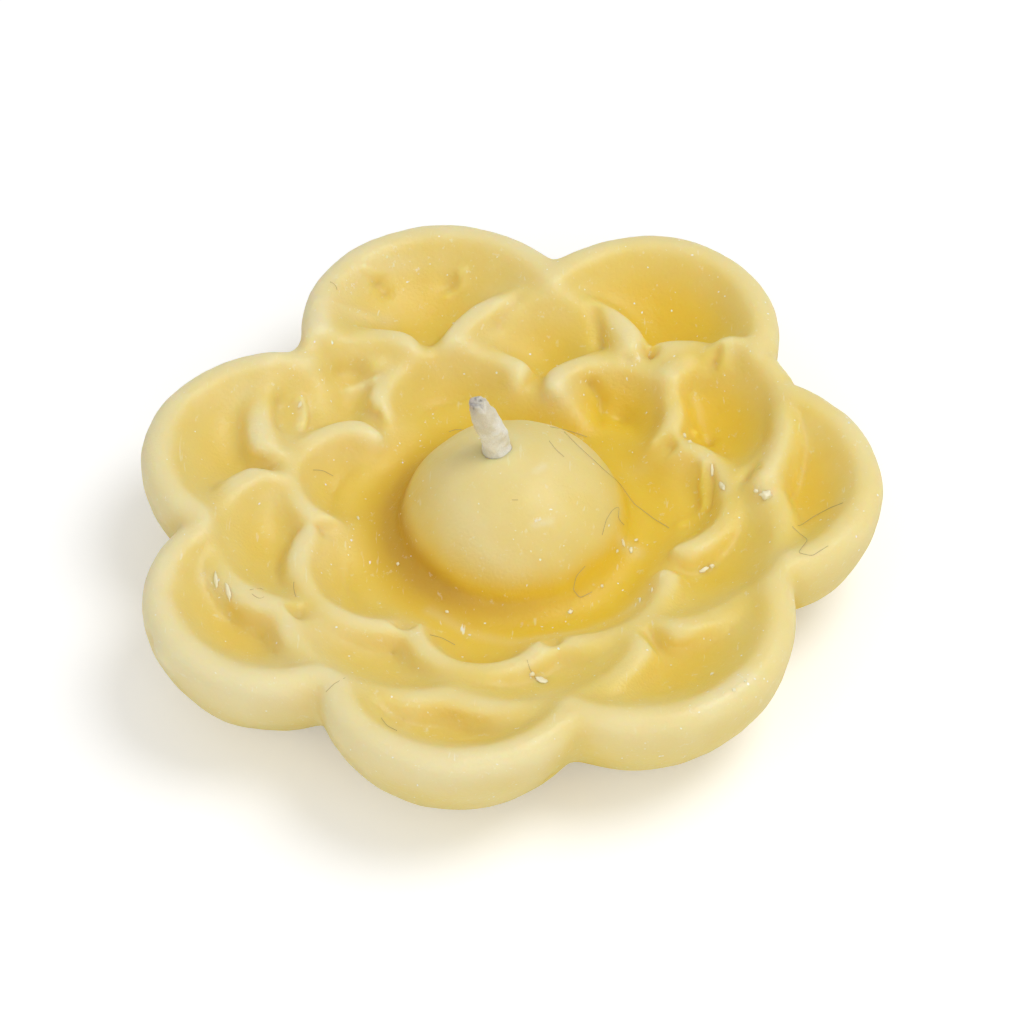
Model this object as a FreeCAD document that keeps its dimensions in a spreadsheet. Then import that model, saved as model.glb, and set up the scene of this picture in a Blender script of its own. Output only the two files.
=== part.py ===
import FreeCAD, Part
import math
import os
import Sketcher

# Floating flower candle: one casting of beeswax with a dish-like underside,
# three rings of seven cupped petals, a round centre and a short cotton wick.
# Millimetres. The underside rests on z = 0 and +Z points up. Turns are counted
# from +X, and the front of the flower faces -Y.

os.makedirs("parts", exist_ok=True)
doc = FreeCAD.newDocument("FlowerCandle")
sheet = doc.addObject("Spreadsheet::Sheet", "Sizes")
V = FreeCAD.Vector
up = V(0, 0, 1)
Rule = Sketcher.Constraint
petalCount = 7
nextRow = 1


def size(alias, value, note=""):
    """Put one size in the sheet, as a number or as a formula on other sizes."""
    global nextRow
    sheet.set("A%d" % nextRow, note)
    sheet.set("B%d" % nextRow, str(value))
    sheet.setAlias("B%d" % nextRow, alias)
    nextRow += 1


# Sizes of the whole
size("petalStep", "=360 / %d" % petalCount, "turn from one petal to the next")
size("bite", 0.15, "how far each hollow cuts past the round of its rim")
size("dishFlat", 15.5, "radius of the flat that the candle rests on")
size("dishRound", 11, "radius of the underside's rounded edge, and its height")

# Sizes of the rings: crest is the height of a rim, bead the radius of its
# round, hollow the depth of a petal's floor under its rim, foot the height
# where a petal starts, knee the height where its underside turns up into its
# outer face, and first the turn of the ring's first petal
rings = {
    "outer": {"Crest": 14, "Bead": 1.9, "Hollow": 5.6, "Foot": 0.5,
              "First": 5, "Reach": 38.5, "Cup": 14.3},
    "middle": {"Crest": 12.5, "Bead": 1.5, "Hollow": 5, "Foot": 3, "Knee": 7,
               "First": 32.5, "Reach": 29.9, "Cup": 12.4,
               "Clear": 24, "Floor": 7.7,
               "GapFloor": 9, "GapStart": 19, "GapEnd": 26.5, "Shoulder": 1.8},
    "inner": {"Crest": 11.1, "Bead": 1.3, "Hollow": 4.7, "Foot": 3, "Knee": 6,
              "First": 5, "Reach": 23.3, "Cup": 8.5,
              "Clear": 17, "Floor": 6.7,
              "GapFloor": 8.4, "GapStart": 14, "GapEnd": 19.5, "Shoulder": 1.5},
}
for ring, values in rings.items():
    for name, number in values.items():
        size(ring + name, number, "%s ring, %s" % (ring, name))
size("rimStraight", 0.1, "upright part of an outer petal's wall")
size("petalDraft", 8, "lean of the middle and inner petals' outer faces")
size("petalGap", 1.9, "gap between the ends of two petals of a ring")

# The mould was cut by hand, so each petal is a little off the even ring:
# turn in degrees, then reach from the centre and cup radius in millimetres
petalTrims = {
    "outer": [(-1, -0.5, 0.2), (1.5, 2.5, -0.6), (-2.2, 0.9, 0.6), (7, -0.8, -0.2),
              (1, 1.4, -0.7), (-3.5, -0.5, -0.2), (-6.5, -2, 2)],
    "middle": [(-1.5, 2.7, -0.8), (-5, 0.5, -1), (5.5, 1, 0.2), (8, 1.9, -0.7),
               (-1, 1, 1.7), (-15, -0.1, 2), (1, -0.1, 2)],
    "inner": [(-0.5, 0.9, 0.5), (-3.5, 1.8, -0.2), (2, 0.8, 1.2), (6, 0.5, -0.5),
              (1.5, 0.9, 1.2), (-1, 0.3, -0.1), (-6.5, -1.2, 1.8)],
}
for ring, trims in petalTrims.items():
    for place, (turn, reach, cup) in enumerate(trims):
        petal = "%s%d" % (ring, place + 1)
        size(petal + "Turn", "=%sFirst + %d * petalStep + (%s)" % (ring, place, turn))
        size(petal + "Cup", "=%sCup + (%s)" % (ring, cup))
        size(petal + "Out", "=%sReach + (%s) - %sCup" % (ring, reach, petal))
        # a petal's hollow is a ball that lies against the round of its rim
        size(petal + "Ball", "=(({1}Cup - {0}Bead)^2 + ({0}Hollow - {0}Bead)^2"
             " - {0}Bead^2) / (2 * {0}Hollow)".format(ring, petal))
        size(petal + "Lift", "={0}Crest - {0}Hollow + {1}Ball".format(ring, petal))

# Sizes of the round centre and of the groove about it
size("domeRadius", 11.7, "round centre")
size("domeRight", 0.7, "how far the centre is cast to the right")
size("domeLift", 6, "height of the round centre's middle")
size("domeFoot", -10, "latitude where the round centre is cut flat")
size("moatRadius", 13.2, "middle line of the groove round the centre")
size("moatRound", 2, "radius of that groove's section")
size("moatLift", 7.5, "height of that groove's middle line")
size("moatFlare", 2.5, "how far the space over the groove opens outwards")
size("moatTop", 12.6, "top of that space")

# Sizes of the wick
size("wickCore", 1.1, "radius of the wick inside the wax")
size("wickStart", 0.3, "height of the wick's end over the underside")
size("wickRight", -1, "root of the wick, to the right")
size("wickBack", 1.5, "root of the wick, to the back")
size("wickRoot", 16.6, "height where the wick starts to lean")
size("wickTop", 24, "height of the wick's tip")
size("wickLean", 1.9, "how far the tip leans to the left")
size("wickSwell", 1.4, "radius of the wick's waxed middle")
size("wickTip", 0.9, "radius of the wick's tip")
doc.recompute()


def bind(thing, path, formula):
    """Tie one property of an object to a formula on the sheet's sizes."""
    thing.setExpression(path, formula)


gauge = doc.addObject("App::FeaturePython", "Gauge")
gauge.addProperty("App::PropertyFloat", "Reading")


def measure(formula):
    """The present value of a formula on the sheet's sizes."""
    bind(gauge, "Reading", formula)
    gauge.recompute()
    return gauge.Reading


def place(thing, turn, out, lift, spin="0"):
    """Place an object at a turn and a distance from the flower's middle."""
    bind(thing, "Placement.Base.x", "(%s) * cos(%s * 1deg)" % (out, turn))
    bind(thing, "Placement.Base.y", "(%s) * sin(%s * 1deg)" % (out, turn))
    bind(thing, "Placement.Base.z", lift)
    thing.Placement.Rotation = FreeCAD.Rotation(up, 1)
    bind(thing, "Placement.Rotation.Angle", "%s + %s" % (turn, spin))


def startBody(name):
    """Start a body with a sketch that stands on its own XZ plane."""
    body = doc.addObject("PartDesign::Body", name)
    sketch = body.newObject("Sketcher::SketchObject", name + "Sketch")
    for plane in body.Origin.OriginFeatures:
        if plane.Role == "XZ_Plane":
            sketch.AttachmentSupport = [(plane, "")]
    sketch.MapMode = "FlatFace"
    return body, sketch


def sizeRule(sketch, name, rule, formula):
    """Add a sized rule to a sketch and tie it to a formula."""
    sketch.renameConstraint(sketch.addConstraint(rule), name)
    bind(sketch, "Constraints." + name, formula)


def turnBody(body, sketch):
    """Turn a body's sketch round its upright axis."""
    turned = body.newObject("PartDesign::Revolution", body.Name + "Turned")
    turned.Profile = sketch
    turned.ReferenceAxis = (sketch, ["V_Axis"])
    turned.Angle = 360
    body.Tip = turned
    return body


def drawProfile(sketch, corners, rounds):
    """Draw a closed profile from corner formulas.

    rounds gives, for the corner where an arc starts, the arc's radius and 1
    where it turns to the left, or -1 where it turns to the right.
    """
    points = [V(measure(x), measure(y), 0) for x, y in corners]
    pieces = []
    for i, start in enumerate(points):
        end = points[(i + 1) % len(points)]
        if i not in rounds:
            line = sketch.addGeometry(Part.LineSegment(start, end), False)
            pieces.append((line, 1, 2))
            continue
        formula, side = rounds[i]
        radius = measure(formula)
        half = (end - start) / 2
        rise = math.sqrt(max(radius ** 2 - half.Length ** 2, 0))
        middle = start + half + V(-half.y, half.x, 0).normalize() * rise * side
        first, last = (start, end) if side > 0 else (end, start)
        angles = [math.atan2(p.y - middle.y, p.x - middle.x) for p in (first, last)]
        arc = sketch.addGeometry(Part.ArcOfCircle(
            Part.Circle(middle, up, radius), *angles), False)
        pieces.append((arc, 1, 2) if side > 0 else (arc, 2, 1))
        sizeRule(sketch, "round%d" % i, Rule("Radius", arc, radius), formula)
    for i, (piece, start, end) in enumerate(pieces):
        before = pieces[i - 1]
        sketch.addConstraint(Rule("Coincident", before[0], before[2], piece, start))
        x, y = corners[i]
        if x == "0":
            sketch.addConstraint(Rule("PointOnObject", piece, start, -2))
        else:
            rule = Rule("DistanceX", -1, 1, piece, start, points[i].x)
            sizeRule(sketch, "out%d" % i, rule, x)
        if y == "0":
            sketch.addConstraint(Rule("PointOnObject", piece, start, -1))
        else:
            rule = Rule("DistanceY", -1, 1, piece, start, points[i].y)
            sizeRule(sketch, "up%d" % i, rule, y)


def addPetalBlock(ring, petal):
    """A solid petal: a turned block with a rounded rim, not yet hollowed."""
    cup = measure("Sizes.%sCup" % petal)
    bead = measure("Sizes.%sBead" % ring)
    rimHeight = measure("Sizes.{0}Crest - Sizes.{0}Bead".format(ring))
    foot = measure("Sizes.%sFoot" % ring)
    ballHeight = measure("Sizes.%sLift" % petal)
    draft = 0 if ring == "outer" else math.radians(measure("Sizes.petalDraft"))
    rimMiddle = V(cup - bead, rimHeight, 0)
    outside = rimMiddle + V(math.cos(draft), math.sin(draft), 0) * bead
    inside = rimMiddle - (rimMiddle - V(0, ballHeight, 0)).normalize() * bead
    inAngle = math.atan2(inside.y - rimHeight, inside.x - rimMiddle.x) % (2 * math.pi)
    if ring == "outer":
        under = rimHeight - foot - measure("Sizes.rimStraight")
        knee = V(cup, foot + under, 0)
        corner = V(cup - under, foot, 0)
    else:
        kneeHeight = measure("Sizes.%sKnee" % ring)
        knee = V(outside.x + (outside.y - kneeHeight) * math.tan(draft), kneeHeight, 0)
        corner = knee - V(1, 1, 0) * (kneeHeight - foot)
    body, sketch = startBody(petal + "Block")

    def line(start, end, helper=False):
        return sketch.addGeometry(Part.LineSegment(start, end), helper)

    def arc(middle, radius, start, end):
        circle = Part.Circle(middle, up, radius)
        return sketch.addGeometry(Part.ArcOfCircle(circle, start, end), False)

    rim = arc(rimMiddle, bead, draft, inAngle)
    lid = line(inside, V(0, inside.y, 0))
    axis = line(V(0, inside.y, 0), V(0, foot, 0))
    floor = line(V(0, foot, 0), corner)
    wall = line(knee, outside)
    ray = line(V(0, ballHeight, 0), rimMiddle, True)
    for first, end, second, start in ((rim, 2, lid, 1), (lid, 2, axis, 1),
                                      (axis, 2, floor, 1), (ray, 2, rim, 3)):
        sketch.addConstraint(Rule("Coincident", first, end, second, start))
    sketch.addConstraint(Rule("Horizontal", lid))
    sketch.addConstraint(Rule("Horizontal", floor))
    sketch.addConstraint(Rule("Vertical", axis))
    sketch.addConstraint(Rule("PointOnObject", axis, 1, -2))
    sketch.addConstraint(Rule("PointOnObject", ray, 1, -2))
    sketch.addConstraint(Rule("PointOnObject", rim, 2, ray))
    sketch.addConstraint(Rule("Tangent", wall, 2, rim, 1))
    sizeRule(sketch, "bead", Rule("Radius", rim, bead), "Sizes.%sBead" % ring)
    sizeRule(sketch, "rimOut", Rule("DistanceX", -1, 1, rim, 3, rimMiddle.x),
             "Sizes.%sCup - Sizes.%sBead" % (petal, ring))
    sizeRule(sketch, "rimUp", Rule("DistanceY", -1, 1, rim, 3, rimHeight),
             "Sizes.{0}Crest - Sizes.{0}Bead".format(ring))
    sizeRule(sketch, "foot", Rule("DistanceY", -1, 1, axis, 2, foot),
             "Sizes.%sFoot" % ring)
    sizeRule(sketch, "ballUp", Rule("DistanceY", -1, 1, ray, 1, ballHeight),
             "Sizes.%sLift" % petal)
    if ring == "outer":
        bowl = arc(V(corner.x, knee.y, 0), under, -math.pi / 2, 0)
        sketch.addConstraint(Rule("Tangent", floor, 2, bowl, 1))
        sketch.addConstraint(Rule("Tangent", bowl, 2, wall, 1))
        sizeRule(sketch, "under", Rule("Radius", bowl, under),
                 "Sizes.outerCrest - Sizes.outerBead"
                 " - Sizes.outerFoot - Sizes.rimStraight")
    else:
        slope = line(corner, knee)
        sketch.addConstraint(Rule("Coincident", floor, 2, slope, 1))
        sketch.addConstraint(Rule("Coincident", slope, 2, wall, 1))
        sizeRule(sketch, "slope", Rule("Angle", slope, math.pi / 4), "45")
        sizeRule(sketch, "kneeUp", Rule("DistanceY", -1, 1, slope, 2, kneeHeight),
                 "Sizes.%sKnee" % ring)
        sizeRule(sketch, "lean", Rule("Angle", wall, math.pi / 2 + draft),
                 "90 + Sizes.petalDraft")
    turnBody(body, sketch)
    place(body, "Sizes.%sTurn" % petal, "Sizes.%sOut" % petal, "0")
    return body


def addHollow(ring, petal):
    """The ball that hollows a petal, a little past the round of its rim."""
    ball = doc.addObject("Part::Sphere", petal + "Hollow")
    bind(ball, "Radius", "Sizes.%sBall + Sizes.bite" % petal)
    place(ball, "Sizes.%sTurn" % petal, "Sizes.%sOut" % petal,
          "Sizes.%sLift" % petal, "180")
    return ball


def addGap(ring, number):
    """The gap between a petal's end and the next one's, with round shoulders."""
    petal = "%s%d" % (ring, number)
    body, sketch = startBody(petal + "Gap")
    half = "Sizes.petalGap / 2"
    wide = half + " + Sizes.%sShoulder" % ring
    floor = "Sizes.%sGapFloor" % ring
    crest = "Sizes.%sCrest" % ring
    low = crest + " - Sizes.%sShoulder" % ring
    lid = crest + " + 1"
    minus = "-(%s)"
    corners = [(minus % half, floor), (half, floor), (half, low), (wide, crest),
               (wide, lid), (minus % wide, lid), (minus % wide, crest),
               (minus % half, low)]
    shoulder = ("Sizes.%sShoulder" % ring, -1)
    drawProfile(sketch, corners, {2: shoulder, 6: shoulder})
    cut = body.newObject("PartDesign::Pad", petal + "GapPad")
    cut.Profile = sketch
    bind(cut, "Length", "Sizes.{0}GapEnd - Sizes.{0}GapStart".format(ring))
    body.Tip = cut
    lap = 360 if number == petalCount else 0
    after = "%s%d" % (ring, number % petalCount + 1)
    turn = "((Sizes.%sTurn + Sizes.%sTurn + %d) / 2)" % (petal, after, lap)
    place(body, turn, "Sizes.%sGapStart" % ring, "0", "90")
    return body


def addClearing(ring):
    """The round room in the middle of a ring, where the next ring stands."""
    room = doc.addObject("Part::Cylinder", ring + "Clearing")
    bind(room, "Radius", "Sizes.%sClear" % ring)
    bind(room, "Height", "Sizes.outerCrest + 5")
    bind(room, "Placement.Base.z", "Sizes.%sFloor" % ring)
    return room


def join(name, pieces):
    """Fuse pieces into one solid."""
    joined = doc.addObject("Part::MultiFuse", name)
    joined.Shapes = pieces
    return joined


def cutOut(name, base, tool):
    """Cut one solid out of another."""
    cut = doc.addObject("Part::Cut", name)
    cut.Base = base
    cut.Tool = tool
    return cut


# The dish under the petals
dish, dishSketch = startBody("dish")
drawProfile(dishSketch, [
    ("0", "0"), ("Sizes.dishFlat", "0"),
    ("Sizes.dishFlat + Sizes.dishRound", "Sizes.dishRound"),
    ("0", "Sizes.dishRound")], {1: ("Sizes.dishRound", 1)})
turnBody(dish, dishSketch)

# The groove round the centre, with the space above it that opens outwards
moat, moatSketch = startBody("moat")
drawProfile(moatSketch, [
    ("0", "Sizes.moatLift"),
    ("Sizes.moatRadius - Sizes.moatRound", "Sizes.moatLift"),
    ("Sizes.moatRadius", "Sizes.moatLift - Sizes.moatRound"),
    ("Sizes.moatRadius + Sizes.moatRound", "Sizes.moatLift"),
    ("Sizes.moatRadius + Sizes.moatRound + Sizes.moatFlare", "Sizes.moatTop"),
    ("0", "Sizes.moatTop")],
    {1: ("Sizes.moatRound", 1), 2: ("Sizes.moatRound", 1)})
turnBody(moat, moatSketch)
bind(moat, "Placement.Base.x", "Sizes.domeRight")

# The two front petals of the middle ring run into each other
openGaps = {"outer": (), "middle": (1, 2, 3, 4, 6, 7), "inner": (1, 2, 3, 4, 5, 6, 7)}
flower = dish
for ring in rings:
    petals = ["%s%d" % (ring, n + 1) for n in range(petalCount)]
    if ring != "outer":
        flower = cutOut(ring + "Room", flower, addClearing(ring))
    # one petal at a time, as each hollow also clears its neighbours' overlap
    for petal in petals:
        flower = join(petal + "Joined", [flower, addPetalBlock(ring, petal)])
    for petal in petals:
        flower = cutOut(petal + "Hollowed", flower, addHollow(ring, petal))
    gaps = [addGap(ring, number) for number in openGaps[ring]]
    if gaps:
        flower = cutOut(ring + "Ends", flower, join(ring + "Gaps", gaps))

# The round centre
flower = cutOut("grooved", flower, moat)
dome = doc.addObject("Part::Sphere", "dome")
bind(dome, "Radius", "Sizes.domeRadius")
bind(dome, "Angle1", "Sizes.domeFoot")
bind(dome, "Placement.Base.x", "Sizes.domeRight")
bind(dome, "Placement.Base.z", "Sizes.domeLift")
flower = join("flower", [flower, dome])

# The wick: a straight core down through the wax and a leaning waxed stub
core = doc.addObject("Part::Cylinder", "wickThread")
bind(core, "Radius", "Sizes.wickCore")
bind(core, "Height", "Sizes.wickRoot - Sizes.wickStart + 0.4")
bind(core, "Placement.Base.x", "Sizes.wickRight")
bind(core, "Placement.Base.y", "Sizes.wickBack")
bind(core, "Placement.Base.z", "Sizes.wickStart")
stubRings = []
# how far up the stub each ring stands, its share of the lean, and its radius
for share, lean, radius in ((0, 0, "Sizes.wickCore + 0.05"),
                            (0.25, 0.1, "Sizes.wickSwell - 0.1"),
                            (0.6, 0.45, "Sizes.wickSwell"),
                            (0.88, 0.85, "(Sizes.wickSwell + Sizes.wickTip) / 2"),
                            (1, 1, "Sizes.wickTip")):
    ringHere = doc.addObject("Part::Circle", "stubRing%d" % (len(stubRings) + 1))
    bind(ringHere, "Radius", radius)
    bind(ringHere, "Placement.Base.x", "Sizes.wickRight - Sizes.wickLean * %s" % lean)
    bind(ringHere, "Placement.Base.y", "Sizes.wickBack")
    bind(ringHere, "Placement.Base.z",
         "Sizes.wickRoot + (Sizes.wickTop - Sizes.wickRoot) * %s" % share)
    stubRings.append(ringHere)
stub = doc.addObject("Part::Loft", "wickStub")
stub.Sections = stubRings
stub.Solid = True
stub.Ruled = False
wick = join("wick", [core, stub])
wax = cutOut("wax_body", flower, wick)
doc.removeObject("Gauge")
doc.recompute()

for thing in doc.Objects:
    if "Invalid" in thing.State or "Error" in thing.State:
        raise ValueError("%s did not build: %s" % (thing.Name, thing.State))
for piece, name in ((wax, "wax_body"), (wick, "wick")):
    piece.Label = name
    shape = piece.Shape
    if shape.isNull() or not shape.isValid() or len(shape.Solids) != 1:
        raise ValueError("%s is not one valid solid" % name)
    shape.exportStep("parts/%s.step" % name)
    print(name, round(shape.Volume), shape.BoundBox)
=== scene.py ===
import bpy
import math
import random
import numpy as np
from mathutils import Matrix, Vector, noise
from mathutils.bvhtree import BVHTree


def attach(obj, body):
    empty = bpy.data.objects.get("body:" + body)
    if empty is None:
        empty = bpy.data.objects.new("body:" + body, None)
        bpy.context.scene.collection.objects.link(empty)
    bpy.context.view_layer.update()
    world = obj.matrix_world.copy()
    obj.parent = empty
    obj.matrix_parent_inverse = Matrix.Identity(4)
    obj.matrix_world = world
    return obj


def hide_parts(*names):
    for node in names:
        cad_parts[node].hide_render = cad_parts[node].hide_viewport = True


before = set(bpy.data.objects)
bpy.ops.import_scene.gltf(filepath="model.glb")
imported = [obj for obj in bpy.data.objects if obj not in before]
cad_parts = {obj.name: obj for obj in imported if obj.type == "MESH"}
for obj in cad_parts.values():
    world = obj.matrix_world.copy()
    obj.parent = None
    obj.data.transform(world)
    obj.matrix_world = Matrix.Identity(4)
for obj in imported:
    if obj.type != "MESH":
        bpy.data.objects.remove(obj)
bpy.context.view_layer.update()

mm = 0.001


def deselectAll():
    for thing in bpy.context.selected_objects:
        thing.select_set(False)


def makeActive(thing):
    deselectAll()
    thing.select_set(True)
    bpy.context.view_layer.objects.active = thing


def applyModifier(thing, name):
    makeActive(thing)
    bpy.ops.object.modifier_apply(modifier=name)


# camera at the photograph's angle

view = {
    "elevation": 47.0,          # degrees above the horizon
    "distance": 500.0,          # mm from the flower
    "perPixel": 0.1,            # mm at the rims for one pixel of the photograph
    "rimHeight": 14.0,          # height of the outer petals' rims
    "middlePixel": (507, 482),  # where the flower's middle shows at that height
    "imageSize": 1024,
}
tilt = math.radians(view["elevation"])
viewRight = Vector((1, 0, 0))
viewUp = Vector((0, math.sin(tilt), math.cos(tilt)))
viewBack = Vector((0, -math.cos(tilt), math.sin(tilt)))


def addCamera():
    data = bpy.data.cameras.new("camera")
    camera = bpy.data.objects.new("camera", data)
    bpy.context.scene.collection.objects.link(camera)
    half = view["imageSize"] / 2
    aim = Vector((0, 0, view["rimHeight"]))
    aim += viewRight * (half - view["middlePixel"][0]) * view["perPixel"]
    aim += viewUp * (view["middlePixel"][1] - half) * view["perPixel"]
    camera.location = (aim + viewBack * view["distance"]) * mm
    camera.rotation_euler = (math.radians(90) - tilt, 0, 0)
    data.sensor_width = 36
    data.lens = 36 * view["distance"] / (view["perPixel"] * view["imageSize"])
    data.clip_start = 0.05
    data.clip_end = 5
    bpy.context.scene.camera = camera
    return camera


camera = addCamera()
print("camera in place")


def sightLine(pixel):
    # start and direction, in mm, of the line of sight through a pixel
    half = view["imageSize"] / 2
    across = (pixel[0] - half) * view["perPixel"]
    down = (pixel[1] - half) * view["perPixel"]
    line = viewRight * across - viewUp * down - viewBack * view["distance"]
    return camera.location / mm, line.normalized()


# the surface under work: points in mm, and how they join

def readPoints(thing):
    flat = np.empty(len(thing.data.vertices) * 3)
    thing.data.vertices.foreach_get("co", flat)
    return flat.reshape(-1, 3) / mm


def writePoints(thing, points):
    thing.data.vertices.foreach_set("co", (points * mm).ravel())
    thing.data.update()


def readNormals(thing):
    flat = np.empty(len(thing.data.vertices) * 3)
    thing.data.vertices.foreach_get("normal", flat)
    return flat.reshape(-1, 3)


def readEdges(thing):
    flat = np.empty(len(thing.data.edges) * 2, dtype=np.int64)
    thing.data.edges.foreach_get("vertices", flat)
    return flat.reshape(-1, 2)


def searchTree(thing, points):
    faces = [tuple(face.vertices) for face in thing.data.polygons]
    return BVHTree.FromPolygons([tuple(p) for p in points], faces)


def averaged(values, edges, rounds):
    # each point takes the mean of its neighbours, again and again
    first, second = edges[:, 0], edges[:, 1]
    size = len(values)
    count = np.bincount(first, minlength=size) + np.bincount(second, minlength=size)
    for _ in range(rounds):
        total = np.empty_like(values)
        for k in range(values.shape[1]):
            total[:, k] = np.bincount(first, values[second, k], size)
            total[:, k] += np.bincount(second, values[first, k], size)
        values = total / count[:, None]
    return values


def distanceToPath(points, path):
    # distance of every point from a line of straight stretches
    best = np.full(len(points), 1e9)
    ends = list(zip(path[:-1], path[1:])) or [(path[0], path[0])]
    for start, end in ends:
        run = end - start
        share = np.clip((points - start) @ run / max(run @ run, 1e-9), 0, 1)
        best = np.minimum(best, np.linalg.norm(points - start - share[:, None] * run, axis=1))
    return best


def ramp(values, start, full):
    # nought at the start, one where it is full, straight in between
    return np.clip((values - start) / (full - start), 0, 1)


def fromMiddle(points, aside=0.0):
    return np.hypot(points[:, 0] - aside, points[:, 1])


def facingOut(points, normals):
    # how far a surface faces away from the middle, 1 for an upright wall
    out = np.maximum(fromMiddle(points), 1)
    return (points[:, :2] * normals[:, :2]).sum(axis=1) / out


def spotAt(pixel, height):
    # where the line of sight through a pixel is at that height
    start, line = sightLine(pixel)
    return np.array(start + line * ((height - start.z) / line.z))


def touch(tree, pixel):
    start, line = sightLine(pixel)
    spot, normal, face, far = tree.ray_cast(start, line)
    return (np.array(spot), np.array(normal)) if spot else None


# wax, from the casting's own shape

wax = {
    "voxel": 0.42,           # mm, grain of the remeshed wax
    "softening": 6,          # rounds of smoothing
    "afterRims": 4,          # more of them once the rims are thick
    "afterRidges": 3,        # and once the ridges are built
    "bowl": 3.0,             # mm, height under which the underside keeps its form
    "upper": (4, 6),         # mm, heights from which, and from which fully, creases are filled
    "rimUpper": (5, 7),      # the same for the rims
    "wall": 30,              # mm from the middle, past which a rim's outer side is a wall
    # rims thickened by a round of this radius, in so many steps
    "thicken": (1.7, 2),
    # sharp valleys, and then the pits between petals: how broadly the surface
    # is averaged, from how deep in mm they are filled, and how much
    "creases": [(30, 0.05, 0.5), (26, 0.22, 1.0), (26, 0.22, 0.9)],
    # where the inner petals run down to the centre: from and to radius, the
    # lowest height, below which height it is smoothed, and rounds of smoothing
    "merge": (11.0, 18.5, 7.5, 10.5, 50),
    # how far the round centre lies to the right, its radius at its foot, and
    # the radius of the round in that corner
    "foot": (0.7, 11.4, 2.0),
    # height of the rims by distance from the middle, in mm
    "rims": ([0, 8, 11.7, 13, 20, 27, 34], [17.7, 14.5, 12.6, 11.1, 11.4, 12.9, 14]),
    # unevenness of the casting: its breadth and its height, in mm
    "waves": [(11, 0.22), (4.5, 0.13), (1.9, 0.05), (0.9, 0.018)],
}

# dents (and lumps, where the depth is below nought), each a line of pixels in
# the photograph, how broad and how deep in mm, and how flat its middle is
dents = [
    # folded petal at the back left: a bridge between two hollows
    ([(306, 372), (318, 395), (322, 420)], 2.2, -1.2, 2),
    ([(283, 402), (283, 424)], 1.2, 0.9, 2),
    ([(299, 402), (303, 413), (300, 427)], 0.5, -0.8, 2),
    ([(340, 372), (354, 372)], 1.4, 1.0, 2),
    ([(350, 390), (363, 385), (374, 381)], 0.6, -0.5, 2),
    ([(376, 366)], 1.1, -0.7, 2),
    ([(367, 412)], 1.3, 0.8, 2),
    # scars on the lobe at the back left
    ([(380, 284), (385, 291)], 0.8, 0.6, 2),
    ([(364, 267), (378, 274)], 0.6, -0.3, 2),
    ([(450, 284)], 1.2, 0.6, 2),
    ([(462, 270), (462, 285), (447, 296)], 0.5, -0.35, 2),
    ([(331, 264)], 0.9, 0.6, 2),
    ([(316, 300), (372, 318)], 0.5, -0.2, 2),
    # the petal behind the centre has two folds
    ([(518, 299), (508, 308), (499, 323)], 0.8, 0.5, 2),
    ([(592, 310), (597, 326), (599, 346)], 0.9, 0.7, 2),
    # flap in the inner petal at the back right
    ([(560, 396), (568, 404), (578, 420)], 2.0, -0.9, 2),
    ([(592, 384), (601, 400), (601, 420)], 0.8, 0.8, 2),
    ([(622, 418)], 1.6, 0.7, 2),
    ([(627, 358)], 0.7, 0.5, 2),
    # stepped rim at the back right
    ([(716, 352), (712, 363)], 0.8, 0.9, 2),
    ([(674, 366), (696, 358)], 1.3, 0.6, 2),
    ([(724, 344), (742, 343)], 1.0, -0.5, 2),
    # doubled rim of the inner petal at the right
    ([(704, 463), (703, 488), (706, 506), (680, 527)], 0.45, -0.35, 2),
    ([(711, 468), (713, 490), (709, 510)], 0.55, 0.3, 2),
    ([(695, 434)], 0.6, -0.5, 2),
    ([(710, 442)], 0.6, 0.5, 2),
    # lip on the lobe at the front left, and a nick at the front
    ([(163, 657)], 1.4, -0.3, 2),
    ([(150, 640)], 0.9, 0.4, 2),
    ([(551, 778)], 0.6, 0.5, 2),
    # the wax stands up round the foot of the wick
    ([(497, 449)], 1.6, -0.7, 2),
]

# rims that stand higher than the casting's even ones: pixels, height of the
# crest in mm, radius of its round, and how far it reaches to each side
ridges = [
    ([(722, 346), (733, 340), (748, 345), (766, 359), (780, 378), (787, 402), (786, 430),
      (776, 456), (766, 474)], 13.6, 1.1, 2.2),
    ([(672, 368), (688, 355), (712, 352)], 12.6, 1.5, 1.8),
]

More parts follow.
